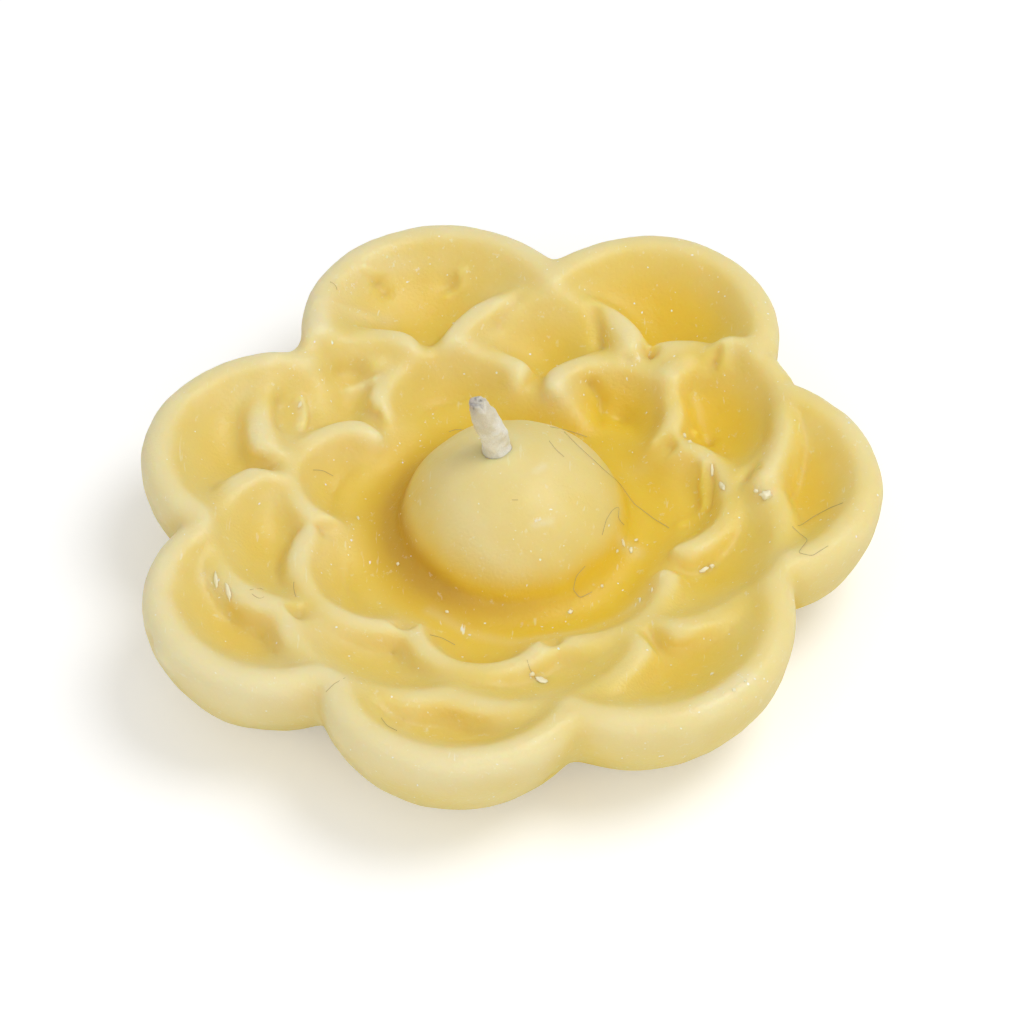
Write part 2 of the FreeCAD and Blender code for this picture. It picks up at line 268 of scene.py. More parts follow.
# worn and frosted places, and two painted highlights, on the round centre and along the lip of the small
# cup: pixels, breadth in mm and strength
wornAndHighlightPlaces = [
    ([(318, 322), (340, 296), (366, 268)], 1.6, 0.7),
    ([(330, 300), (352, 312), (386, 320)], 1.0, 0.8),
    ([(372, 262), (420, 262)], 1.2, 0.5),
    ([(440, 262), (500, 300)], 1.6, 0.4),
    ([(350, 390), (364, 384), (376, 378)], 0.6, 1.2),
    # painted highlight along the right lip of the small cup
    ([(299, 403), (303, 413), (300, 426)], 0.5, 1.3),
    ([(207, 576), (222, 592), (238, 602)], 0.8, 1.0),
    ([(708, 706), (722, 694), (746, 676)], 1.3, 1.3),
    ([(430, 764), (500, 766)], 1.3, 0.6),
    ([(703, 458), (718, 470), (726, 490)], 0.9, 0.8),
    ([(430, 612), (470, 634), (520, 642), (575, 632), (636, 604)], 0.7, 0.7),
    ([(536, 471), (543, 466)], 0.4, 1.5),
    ([(534, 525), (551, 521)], 0.4, 1.5),
    # painted highlight on the round centre
    ([(470, 516), (482, 528)], 1.8, 0.5),
    ([(497, 447), (503, 440)], 0.9, 0.7),
    ([(560, 400), (640, 352)], 1.6, 0.4),
    ([(566, 440), (640, 470)], 1.2, 0.4),
    ([(620, 540), (636, 552)], 0.9, 0.9),
    ([(170, 560), (146, 590), (158, 640)], 1.2, 0.6),
    ([(150, 420), (190, 375), (260, 350)], 1.4, 0.5),
    ([(330, 258), (380, 232), (450, 232)], 1.3, 0.4),
    ([(845, 500), (866, 450), (850, 420)], 1.4, 0.4),
    ([(760, 490), (772, 497)], 0.7, 1.0),
    ([(180, 660), (250, 690), (330, 700)], 1.0, 0.4),
]


def copyNode(name, newName):
    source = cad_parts[name]
    thing = source.copy()
    thing.data = source.data.copy()
    thing.parent = None
    thing.name = newName
    for key in list(thing.keys()):
        del thing[key]
    bpy.context.scene.collection.objects.link(thing)
    return thing


def remeshWax():
    thing = copyNode("wax_body", "wax_flower")
    makeActive(thing)
    bpy.ops.object.mode_set(mode="EDIT")
    bpy.ops.mesh.select_all(action="SELECT")
    bpy.ops.mesh.remove_doubles(threshold=0.00001)
    bpy.ops.object.mode_set(mode="OBJECT")
    remesh = thing.modifiers.new("remesh", "REMESH")
    remesh.mode = "VOXEL"
    remesh.voxel_size = wax["voxel"] * mm
    applyModifier(thing, "remesh")
    smooth = thing.modifiers.new("smooth", "SMOOTH")
    smooth.iterations = wax["softening"]
    smooth.factor = 0.5
    applyModifier(thing, "smooth")
    makeActive(thing)
    bpy.ops.object.shade_smooth()
    return thing


def thickenRims(thing):
    # each rim's round crest is widened, as if a ball had rolled along it
    radius, steps = wax["thicken"]
    points = readPoints(thing)
    first, second = readEdges(thing).T
    normals = readNormals(thing)
    walls = fromMiddle(points) > wax["wall"]
    share = ramp(points[:, 2], *wax["rimUpper"]) * ramp(normals[:, 2], -1 / 3, 0)
    share *= np.where(walls, ramp(facingOut(points, normals), 0.5, 0.1), 1)
    height = points[:, 2].copy()
    for step in range(steps):
        drop = (2 * step + 1) * wax["voxel"] ** 2 / (2 * radius)
        higher = height.copy()
        np.maximum.at(higher, first, height[second] - drop)
        np.maximum.at(higher, second, height[first] - drop)
        height = higher
    points[:, 2] += share * (height - points[:, 2])
    writePoints(thing, points)


def smoothAll(thing, rounds):
    points = readPoints(thing)
    soft = averaged(points, readEdges(thing), rounds)
    share = ramp(points[:, 2], 0, wax["bowl"])[:, None]
    writePoints(thing, points + (soft - points) * share)


def softenCreases(thing):
    # sharp valleys and the pits between petals are filled to soft ones
    edges = readEdges(thing)
    for rounds, least, share in wax["creases"]:
        points = readPoints(thing)
        normals = readNormals(thing)
        hollow = ((averaged(points, edges, rounds) - points) * normals).sum(axis=1)
        upper = ramp(points[:, 2], *wax["upper"])
        fill = share * upper * np.clip(hollow - least, 0, 3)
        fill = averaged(fill[:, None], edges, 5)
        writePoints(thing, points + normals * fill)


def mergeCentre(thing):
    # the inner petals' hollows run down to the round centre with no edge
    near, far, bottom, top, rounds = wax["merge"]
    points = readPoints(thing)
    aside, foot, corner = wax["foot"]
    out = fromMiddle(points, aside)
    inner = (points[:, 2] > wax["bowl"]) & (out > foot - 0.2) & (out < far)
    left = np.clip(foot + corner - out, 0, corner)
    floor = bottom + corner - np.sqrt(corner ** 2 - left ** 2)
    points[:, 2] += np.where(inner, np.clip(floor - points[:, 2], 0, 5), 0)
    share = ramp(out, near, near + 0.8) * ramp(out, far, far - 1.5)
    share *= ramp(points[:, 2], top, top - 1.5)
    soft = averaged(points, readEdges(thing), rounds)
    writePoints(thing, points + (soft - points) * share[:, None])


def dentWax(thing):
    points = readPoints(thing)
    tree = searchTree(thing, points)
    for pixels, broad, deep, flat in dents:
        touched = [touch(tree, pixel) for pixel in pixels]
        touched = [t for t in touched if t]
        if not touched:
            print("a dent misses the wax", pixels)
            continue
        path = [spot for spot, normal in touched]
        inward = -np.mean([normal for spot, normal in touched], axis=0)
        inward /= np.linalg.norm(inward)
        away = distanceToPath(points, path)
        points += inward * (deep * np.exp(-(away / broad) ** flat))[:, None]
    writePoints(thing, points)


def buildRidges(thing):
    # a ridge has a round crest at its height over a line of pixels
    points = readPoints(thing)
    upper = (points[:, 2] > wax["rimUpper"][0]) & (readNormals(thing)[:, 2] > -0.1)
    for pixels, height, radius, reach in ridges:
        path = [spotAt(pixel, height) for pixel in pixels]
        path = [np.array((spot[0], spot[1], 0)) for spot in path]
        away = distanceToPath(points * (1, 1, 0), path)
        ridge = height - away ** 2 / (2 * radius)
        gain = np.clip(ridge - points[:, 2], 0, 5) * ramp(away, reach, reach - 0.6)
        points[:, 2] += np.where(upper, gain, 0)
    writePoints(thing, points)


def unevenWax(thing):
    points = readPoints(thing)
    normals = readNormals(thing)
    lift = np.zeros(len(points))
    for broad, high in wax["waves"]:
        shift = Vector((broad, 3.1, 7.7))
        lift += [high * noise.noise(Vector(p) / broad + shift) for p in points]
    # the underside stays flat where the candle stands
    lift *= ramp(points[:, 2], 0, 2)
    writePoints(thing, points + normals * lift[:, None])


# what the material reads from the surface; lengths in mm
marks = {
    "reliefRounds": 70,         # how broadly the surface round a point is averaged
    "deepest": 5,               # a petal's depth under its rim
    "wall": 31,                 # distance from the middle, past which a wall isn't sunk
    # painted shade in the groove round the centre and on the round centre's left side, added to the mask
    # of the hollows
    "foot": (12.3, 2.8),        # groove round the centre: its distance, and its breadth
    "footShadeHeights": (12.5, 8.5), # above which it isn't marked, and below which it is in full
    "footShadeShare": 0.55,
    "centre": 12,               # radius of the round centre
    "centreShadeLeft": (-3, -10),    # where it starts to turn golden, and is so in full
    "centreShadeShare": 0.9,
}


def addMark(thing, name, values):
    mark = thing.data.attributes.new(name, "FLOAT", "POINT")
    mark.data.foreach_set("value", values)


def markWax(thing):
    # relief is how far a point stands out from the surface around it, in mm
    points = readPoints(thing)
    edges = readEdges(thing)
    normals = averaged(readNormals(thing), edges, 4)
    around = averaged(points, edges, marks["reliefRounds"])
    relief = ((points - around) * normals).sum(axis=1)
    addMark(thing, "relief", averaged(relief[:, None], edges, 5)[:, 0])
    print("relief", [round(float(v), 2) for v in np.percentile(relief, (2, 20, 50, 80, 98))])
    # how far a point lies under the rims, 1 at the bottom of a petal; it masks the painted shade in the
    # hollows
    out = fromMiddle(points)
    sunkShade = np.clip((np.interp(out, *wax["rims"]) - points[:, 2]) / marks["deepest"], 0, 1.2)
    walls = out > marks["wall"]
    sunkShade *= np.where(walls, ramp(facingOut(points, normals), 0.45, 0.05), 1)
    sunkShade *= ramp(points[:, 2], 1.8, 4.8)
    # painted shade in the groove round the centre's foot
    middle, broad = marks["foot"]
    foot = np.exp(-((out - middle) / broad) ** 2) * ramp(points[:, 2], *marks["footShadeHeights"])
    # painted shade: the round centre is more golden on its shaded left side
    golden = marks["centreShadeShare"] * ramp(points[:, 0], *marks["centreShadeLeft"])
    foot += np.where(out < marks["centre"], golden, 0)
    sunkShade += marks["footShadeShare"] * foot
    addMark(thing, "sunkShade", averaged(sunkShade[:, None], edges, 6)[:, 0])
    # worn places and painted highlights, by lines of the photograph's pixels
    tree = searchTree(thing, points)
    wornAndHighlight = np.zeros(len(points))
    for pixels, broad, strength in wornAndHighlightPlaces:
        path = [spot[0] for spot in (touch(tree, pixel) for pixel in pixels) if spot]
        if path:
            away = distanceToPath(points, path)
            wornAndHighlight = np.maximum(wornAndHighlight, strength * np.exp(-(away / broad) ** 2))
    addMark(thing, "wornAndHighlight", wornAndHighlight)


waxFlower = remeshWax()
thickenRims(waxFlower)
smoothAll(waxFlower, wax["afterRims"])
softenCreases(waxFlower)
mergeCentre(waxFlower)
buildRidges(waxFlower)
smoothAll(waxFlower, wax["afterRidges"])
dentWax(waxFlower)
unevenWax(waxFlower)
markWax(waxFlower)
print("wax triangles", 2 * len(waxFlower.data.polygons))
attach(waxFlower, "root")
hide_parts("wax_body")


# nodes shared by the materials

def newNode(tree, kind, **values):
    node = tree.nodes.new(kind)
    for name, value in values.items():
        setattr(node, name, value)
    return node


def makeMottle():
    # cloudy unevenness, pale scuffs, fine grain and short scratches
    group = bpy.data.node_groups.new("waxMottle", "ShaderNodeTree")
    face = group.interface
    face.new_socket("Scale", in_out="INPUT", socket_type="NodeSocketFloat").default_value = 1
    for name in ("Cloud", "Scuff", "Grain", "Scratch", "Speck"):
        face.new_socket(name, in_out="OUTPUT", socket_type="NodeSocketFloat")
    start = newNode(group, "NodeGroupInput")
    end = newNode(group, "NodeGroupOutput")
    place = newNode(group, "ShaderNodeTexCoord")
    size = newNode(group, "ShaderNodeVectorMath", operation="SCALE")
    group.links.new(place.outputs["Object"], size.inputs[0])
    group.links.new(start.outputs["Scale"], size.inputs["Scale"])
    turned = newNode(group, "ShaderNodeMapping")
    turned.inputs["Rotation"].default_value = (0.4, 0.3, 0.5)
    turned.inputs["Scale"].default_value = (1, 0.16, 1)
    group.links.new(size.outputs[0], turned.inputs["Vector"])
    # output, number of features a metre, detail, roughness, and where a spot
    # starts and is full
    for name, scale, detail, rough, spot, feed in (
            ("Cloud", 130, 3, 0.5, None, size.outputs[0]),
            ("Scuff", 1000, 5, 0.72, (0.60, 0.70), size.outputs[0]),
            ("Grain", 2600, 2, 0.5, None, size.outputs[0]),
            ("Speck", 2300, 0, 0.5, (0.82, 0.88), size.outputs[0]),
            ("Scratch", 1500, 3, 0.6, (0.66, 0.72), turned.outputs[0])):
        cloud = newNode(group, "ShaderNodeTexNoise")
        cloud.inputs["Scale"].default_value = scale
        cloud.inputs["Detail"].default_value = detail
        cloud.inputs["Roughness"].default_value = rough
        group.links.new(feed, cloud.inputs["Vector"])
        value = cloud.outputs["Fac"]
        if spot:
            value = stretch(group, value, *spot)
        group.links.new(value, end.inputs[name])
    return group


def colourMix(tree, first, second, share):
    mix = newNode(tree, "ShaderNodeMix", data_type="RGBA")
    for socket, value in ((6, first), (7, second), (0, share)):
        if isinstance(value, bpy.types.NodeSocket):
            tree.links.new(value, mix.inputs[socket])
        elif isinstance(value, tuple):
            mix.inputs[socket].default_value = (*value, 1)
        else:
            mix.inputs[socket].default_value = value
    return mix.outputs[2]


def stretch(tree, value, low, high, top=1.0, bottom=0.0):
    node = newNode(tree, "ShaderNodeMapRange", interpolation_type="SMOOTHSTEP")
    node.inputs["From Min"].default_value = low
    node.inputs["From Max"].default_value = high
    node.inputs["To Min"].default_value = bottom
    node.inputs["To Max"].default_value = top
    tree.links.new(value, node.inputs["Value"])
    return node.outputs["Result"]


def sums(tree, operation, first, second):
    node = newNode(tree, "ShaderNodeMath", operation=operation)
    for socket, value in zip(node.inputs, (first, second)):
        if isinstance(value, bpy.types.NodeSocket):
            tree.links.new(value, socket)
        else:
            socket.default_value = value
    return node.outputs[0]


mottle = makeMottle()

waxFinish = {
    "body": (0.85, 0.68, 0.22),
    "cloud": (0.87, 0.72, 0.31),
    "gold": (0.85, 0.64, 0.06),
    # painted shade: the darker gold of the hollows
    "hollow": (0.85, 0.59, 0.05),
    # painted shade: the brown of the groove left of the middle
    "deep": (0.60, 0.32, 0.04),
    # rim: pale frosted wax, and a painted highlight on the crests
    "rim": (0.88, 0.80, 0.50),
    # pale scuff colour, also used for the painted highlights
    "scuffAndHighlight": (0.93, 0.89, 0.72),
    "speck": (0.97, 0.95, 0.86),
    "depth": 0.0018,                # m, how far light spreads in the wax
    "spread": (1.0, 0.76, 0.4),     # share of that for red, green and blue
    # m, spans from left to right over which a colour comes in
    "goldAcross": (-0.022, 0.028),
    "deepShadeAcross": (-0.014, 0.012),
    "paleAndHighlightAcross": (-0.01, 0.035),
    # painted shade at the foot of the outer walls
    "wallShadeHeights": (0.0115, 0.002),  # m, where a wall starts to turn golden, and is so
    "goldShare": 0.35,
    "wornAndHighlightShare": 0.22,
    "scuffed": 0.3,                 # scuffs and scratches where nothing is worn
    "bump": (0.45, 0.00014),        # strength, and height in m
}


def makeWaxMaterial():
    material = bpy.data.materials.new("beeswax")
    material.use_nodes = True
    tree = material.node_tree
    shader = tree.nodes["Principled BSDF"]
    relief, sunkShade, wornAndHighlight = (newNode(tree, "ShaderNodeAttribute", attribute_name=name).outputs["Fac"]
                          for name in ("relief", "sunkShade", "wornAndHighlight"))
    effects = newNode(tree, "ShaderNodeGroup")
    effects.node_tree = mottle
    effects.inputs["Scale"].default_value = 1
    place = newNode(tree, "ShaderNodeTexCoord")
    across = newNode(tree, "ShaderNodeSeparateXYZ")
    tree.links.new(place.outputs["Object"], across.inputs[0])
    # the casting is more golden towards its right
    golden = stretch(tree, across.outputs["X"], *waxFinish["goldAcross"])
    colour = colourMix(tree, waxFinish["body"], waxFinish["cloud"],
                       stretch(tree, effects.outputs["Cloud"], 0.38, 0.66))
    golden = sums(tree, "MULTIPLY", golden, waxFinish["goldShare"])
    colour = colourMix(tree, colour, waxFinish["gold"], golden)
    # painted shade: the hollows turn a darker gold, more so towards the right
    hollowShadeAcross = stretch(tree, across.outputs["X"], *waxFinish["goldAcross"], 1.25, 0.8)
    share = sums(tree, "MULTIPLY", sunkShade, hollowShadeAcross)
    colour = colourMix(tree, colour, waxFinish["hollow"], stretch(tree, share, 0.1, 1.05))
    # and painted shade, darkest in the groove left of the middle
    deepShade = stretch(tree, across.outputs["X"], *waxFinish["deepShadeAcross"], 1.0, 1.3)
    deepShade = sums(tree, "MULTIPLY", sunkShade, deepShade)
    colour = colourMix(tree, colour, waxFinish["deep"], stretch(tree, deepShade, 1.0, 1.9, 0.8))
    # painted shade: the outer walls turn golden towards their foot, where they curve away under
    low = stretch(tree, across.outputs["Z"], *waxFinish["wallShadeHeights"], 0.6)
    colour = colourMix(tree, colour, waxFinish["gold"], low)
    # rims are paler, most of all on the left: partly pale frosted wax, partly a painted highlight on the
    # crests
    pale = stretch(tree, across.outputs["X"], *waxFinish["paleAndHighlightAcross"], 0.6, 1.0)
    pale = sums(tree, "MULTIPLY", stretch(tree, relief, 0.0, 1.0, 0.85), pale)
    colour = colourMix(tree, colour, waxFinish["rim"], pale)
    # scuffs and frosting, and the painted highlights on the centre and the cup's lip, in the pale scuff
    # colour
    rubbedAndHighlight = sums(tree, "ADD", wornAndHighlight, waxFinish["scuffed"])
    scuffs = sums(tree, "MULTIPLY", effects.outputs["Scuff"], rubbedAndHighlight)
    lines = sums(tree, "MULTIPLY", effects.outputs["Scratch"], rubbedAndHighlight)
    colour = colourMix(tree, colour, waxFinish["scuffAndHighlight"], sums(tree, "MAXIMUM", scuffs, lines))
    frostedAndHighlight = sums(tree, "MULTIPLY", wornAndHighlight, waxFinish["wornAndHighlightShare"])
    colour = colourMix(tree, colour, waxFinish["scuffAndHighlight"], frostedAndHighlight)
    colour = colourMix(tree, colour, waxFinish["speck"], effects.outputs["Speck"])
    tree.links.new(colour, shader.inputs["Base Color"])
    rough = stretch(tree, effects.outputs["Cloud"], 0.3, 0.7, 0.5, 0.34)
    tree.links.new(rough, shader.inputs["Roughness"])
    bump = newNode(tree, "ShaderNodeBump")
    bump.inputs["Strength"].default_value, bump.inputs["Distance"].default_value = waxFinish["bump"]
    height = sums(tree, "ADD", effects.outputs["Grain"],
                  sums(tree, "MULTIPLY", effects.outputs["Scuff"], wornAndHighlight))
    tree.links.new(height, bump.inputs["Height"])
    tree.links.new(bump.outputs["Normal"], shader.inputs["Normal"])
    shader.inputs["Subsurface Weight"].default_value = 1.0
    shader.inputs["Subsurface Scale"].default_value = waxFinish["depth"]
    shader.inputs["Subsurface Radius"].default_value = waxFinish["spread"]
    shader.inputs["IOR"].default_value = 1.44
    return material


waxFlower.data.materials.clear()
waxFlower.data.materials.append(makeWaxMaterial())
print("wax finished")

# wick: a waxed cotton stub of three strands, whose core runs down in the wax

wick = {
    "corner": 40,                 # points round it
    "rings": 64,
    "core": 1.08,                 # mm, radius inside the wax
    # height, how far to the left, and radius, in mm
    "stub": [(16.4, 0.0, 1.3), (17.2, 0.02, 1.5), (18.0, 0.08, 1.3), (19.2, 0.3, 1.32),
             (20.6, 0.75, 1.42), (21.8, 1.15, 1.33), (22.8, 1.5, 1.05), (23.5, 1.75, 0.88),
             (23.9, 1.9, 0.72)],
    "strands": 3,
    "groove": 0.14,               # mm, depth between two strands
    "twist": 16.0,                # degrees a mm
    "root": (-1.0, 1.5),          # mm, where it stands
    "start": 0.3,                 # mm, height of its lower end
    "tipInset": (0.25, 0.12, -0.1), # mm, inset of the end, and its steps up and down
    "foot": (17.0, 18.2),         # mm, heights over which the strands come out of the wax
    "tip": (23.0, 23.8),          # mm, heights over which the end turns rough
    "lumps": [(1.3, 0.16), (3.4, 0.08)],  # unevenness: features a mm, and height in mm
    "fray": 26,                   # fibres at the tip
    "fibre": 0.09,                # mm, radius of one
    "fibreTall": (0.35, 0.62),    # mm, how far they stand up
    "seed": 7,
}


def makeWick():
    deselectAll()
    foot = (wick["root"][0] * mm, wick["root"][1] * mm, wick["start"] * mm)
    bpy.ops.mesh.primitive_circle_add(vertices=wick["corner"], radius=wick["core"] * mm,
                                      fill_type="NGON", location=foot)
    piece = bpy.context.active_object
    piece.name = "waxed_wick"
    makeActive(piece)
    bpy.ops.object.transform_apply(location=True, rotation=False, scale=False)
    heights, left, radii = zip(*wick["stub"])
    levels = np.linspace(heights[0], heights[-1], wick["rings"])
    bpy.ops.object.mode_set(mode="EDIT")
    bpy.ops.mesh.select_all(action="SELECT")
    before = (wick["start"], 0.0, wick["core"])
    for level in levels:
        here = (level, np.interp(level, heights, left), np.interp(level, heights, radii))
        bpy.ops.mesh.extrude_region_move(TRANSFORM_OT_translate={
            "value": ((before[1] - here[1]) * mm, 0, (here[0] - before[0]) * mm)})
        centre = ((wick["root"][0] - here[1]) * mm, wick["root"][1] * mm, level * mm)
        share = here[2] / before[2]
        bpy.ops.transform.resize(value=(share, share, 1), center_override=centre)
        before = here
    inset, up, down = wick["tipInset"]
    bpy.ops.mesh.inset(thickness=inset * mm, depth=up * mm)
    bpy.ops.mesh.inset(thickness=inset * mm, depth=down * mm)
    bpy.ops.object.mode_set(mode="OBJECT")
    strandWick(piece)
    makeActive(piece)
    bpy.ops.object.shade_smooth()
    return piece


def strandWick(piece):
    # the strands' grooves wind round the stub, and the wax film is uneven
    heights, left, radii = zip(*wick["stub"])
    points = readPoints(piece)
    axis = wick["root"][0] - np.interp(points[:, 2], heights, left)
    across = points[:, 0] - axis
    deep = points[:, 1] - wick["root"][1]
    turn = np.arctan2(deep, across) + np.radians(points[:, 2] * wick["twist"])
    shown = ramp(points[:, 2], *wick["foot"])
    groove = wick["groove"] * (0.35 - np.abs(np.sin(turn * wick["strands"] / 2)) ** 0.6)
    lump = np.array([sum(noise.noise(Vector(p) * fine) * high for fine, high in wick["lumps"])
                     for p in points])
    size = np.maximum(np.hypot(across, deep), 0.2)
    share = 1 + shown * (lump - groove) / size
    points[:, 0] = axis + across * share
    points[:, 1] = wick["root"][1] + deep * share
    tip = ramp(points[:, 2], *wick["tip"])
    shift = Vector((5, 1, 2))
    points[:, 2] += tip * [noise.noise(Vector(p) * 2.2 + shift) * 0.5 for p in points]
    top = wick["stub"][-1][0] + 0.1
    points[:, 2] = np.minimum(points[:, 2], top)
    writePoints(piece, points)


def addThread(name, path, radius):
    # a thin round fibre along points in mm
    data = bpy.data.curves.new(name, "CURVE")
    data.dimensions = "3D"
    data.bevel_depth = radius * mm
    data.bevel_resolution = 1
    data.use_fill_caps = True
    spline = data.splines.new("NURBS")
    spline.points.add(len(path) - 1)
    for point, spot in zip(spline.points, path):
        point.co = (*(Vector(spot) * mm), 1)
    spline.order_u = 3
    spline.use_endpoint_u = True
    spline.resolution_u = 3
    thread = bpy.data.objects.new(name, data)
    bpy.context.scene.collection.objects.link(thread)
    makeActive(thread)
    bpy.ops.object.convert(target="MESH")
    return bpy.context.active_object


def joinPieces(pieces, name):
    deselectAll()
    for piece in pieces:
        piece.select_set(True)
    bpy.context.view_layer.objects.active = pieces[0]
    bpy.ops.object.join()
    joined = bpy.context.active_object
    joined.name = name
    makeActive(joined)
    bpy.ops.object.shade_smooth()
    return joined


def frayTip(piece):
    # short blunt fibres stand up from the stub's end
    random.seed(wick["seed"])
    height, left, radius = wick["stub"][-1]
    fibres = []
    for _ in range(wick["fray"]):
        turn = random.uniform(0, 2 * math.pi)
        out = radius * math.sqrt(random.uniform(0.05, 0.95))
        foot = Vector((wick["root"][0] - left + out * math.cos(turn),
                       wick["root"][1] + out * math.sin(turn), height - 0.5))
        lean = Vector((math.cos(turn) * 0.12 - 0.1, math.sin(turn) * 0.12, 0))
        tall = Vector((0, 0, random.uniform(*wick["fibreTall"])))
        path = [foot, foot + lean * 0.4 + tall * 0.5, foot + lean + tall]
        fibres.append(addThread("fibre", path, wick["fibre"]))
    return joinPieces([piece] + fibres, "waxed_wick")


wickFinish = {
    "burntHeights": (0.0215, 0.0242),   # m, where the end starts to be grey, and is so
    "burntLeft": (-0.0022, -0.0036),    # m, the same from right to left
    "cotton": (0.80, 0.75, 0.59),
    "pale": (0.93, 0.91, 0.83),
    "shade": (0.46, 0.38, 0.33),
    "tip": (0.50, 0.43, 0.40),
}


def makeWickMaterial():
    material = bpy.data.materials.new("wick")
    material.use_nodes = True
    tree = material.node_tree
    shader = tree.nodes["Principled BSDF"]
    effects = newNode(tree, "ShaderNodeGroup")
    effects.node_tree = mottle
    effects.inputs["Scale"].default_value = 3
    place = newNode(tree, "ShaderNodeTexCoord")
    parts = newNode(tree, "ShaderNodeSeparateXYZ")
    tree.links.new(place.outputs["Object"], parts.inputs[0])
    colour = colourMix(tree, wickFinish["cotton"], wickFinish["pale"],
                       stretch(tree, effects.outputs["Cloud"], 0.4, 0.6))
    # the tip and its left side are burnt a little grey
    high = stretch(tree, parts.outputs["Z"], *wickFinish["burntHeights"])
    leftSide = stretch(tree, parts.outputs["X"], *wickFinish["burntLeft"])
    mark = sums(tree, "MULTIPLY", high, sums(tree, "MAXIMUM", leftSide, 0.25))
    mark = sums(tree, "MULTIPLY", mark, stretch(tree, effects.outputs["Scuff"], 0.0, 0.6, 0.35, 0.8))
    colour = colourMix(tree, colour, wickFinish["tip"], mark)
    fine = stretch(tree, effects.outputs["Grain"], 0.35, 0.6, 0.0, 0.16)
    colour = colourMix(tree, colour, wickFinish["shade"], fine)
    tree.links.new(colour, shader.inputs["Base Color"])
    shader.inputs["Roughness"].default_value = 0.55
    shader.inputs["Subsurface Weight"].default_value = 0.6
    shader.inputs["Subsurface Scale"].default_value = 0.0008
    shader.inputs["Subsurface Radius"].default_value = (1, 0.9, 0.7)
    bump = newNode(tree, "ShaderNodeBump")
    bump.inputs["Strength"].default_value = 0.6
    bump.inputs["Distance"].default_value = 0.00012
    tree.links.new(effects.outputs["Grain"], bump.inputs["Height"])
    tree.links.new(bump.outputs["Normal"], shader.inputs["Normal"])
    return material


wickPiece = frayTip(makeWick())
wickPiece.data.materials.clear()
wickPiece.data.materials.append(makeWickMaterial())
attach(wickPiece, "root")
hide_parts("wick")
print("wick finished")

# lint: short cotton fibres that lie on the wax, by the photograph's pixels

lint = {
    "radius": 0.028,   # mm
    "step": 5,         # pixels between two points that are laid on the wax
    "dark": (0.42, 0.34, 0.16),
    "light": (0.62, 0.50, 0.26),
    "paths": [
        [(550, 427), (566, 430), (587, 437)],
        [(564, 432), (578, 446), (590, 457), (604, 470), (619, 483), (634, 504), (654, 519), (669, 528)],
        [(549, 441), (556, 450), (564, 457)],
        [(602, 535), (606, 520), (612, 510), (619, 506), (618, 520), (624, 525)],
        [(585, 566), (576, 576), (573, 590), (580, 598), (592, 592)],
        [(449, 432), (455, 429), (462, 430)],
        [(512, 500), (518, 500)],
        [(430, 635), (442, 638), (455, 645)],
        [(527, 660), (530, 670), (536, 679)],
        [(843, 503), (830, 508), (815, 516), (800, 526), (791, 526), (800, 534), (808, 540), (798, 553),
         (812, 556), (828, 546)],
        [(313, 470), (322, 470), (333, 476)],
        [(330, 282), (336, 284), (337, 290)],
        [(250, 590), (262, 588), (267, 596), (258, 600), (252, 594)],
        [(294, 582), (293, 590), (296, 597)],
        [(381, 718), (387, 726), (397, 731)],
        [(326, 692), (334, 684), (345, 678)],
    ],
}


def makeLint():
    tree = searchTree(waxFlower, readPoints(waxFlower))
    fibres = []
    for pixels in lint["paths"]:
        path = []
        for start, end in zip(pixels[:-1], pixels[1:]):
            steps = max(int(math.dist(start, end) / lint["step"]), 1)
            for step in range(steps):
                share = step / steps
                path.append(tuple(a + (b - a) * share for a, b in zip(start, end)))
        path.append(pixels[-1])
        spots = [touch(tree, pixel) for pixel in path]
        spots = [spot + normal * lint["radius"] for spot, normal in filter(None, spots)]
        if len(spots) > 1:
            fibres.append(addThread("fibre", spots, lint["radius"]))
    return joinPieces(fibres, "lint")


def makeLintMaterial():
    material = bpy.data.materials.new("lint")
    material.use_nodes = True
    tree = material.node_tree
    shader = tree.nodes["Principled BSDF"]
    effects = newNode(tree, "ShaderNodeGroup")
    effects.node_tree = mottle
    effects.inputs["Scale"].default_value = 2
    colour = colourMix(tree, lint["dark"], lint["light"], effects.outputs["Cloud"])
    tree.links.new(colour, shader.inputs["Base Color"])
    shader.inputs["Roughness"].default_value = 0.8
    return material


lintPiece = makeLint()
lintPiece.data.materials.clear()
lintPiece.data.materials.append(makeLintMaterial())
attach(lintPiece, "root")
print("lint finished")

# crumbs and peeled flakes of wax, by the photograph's pixels

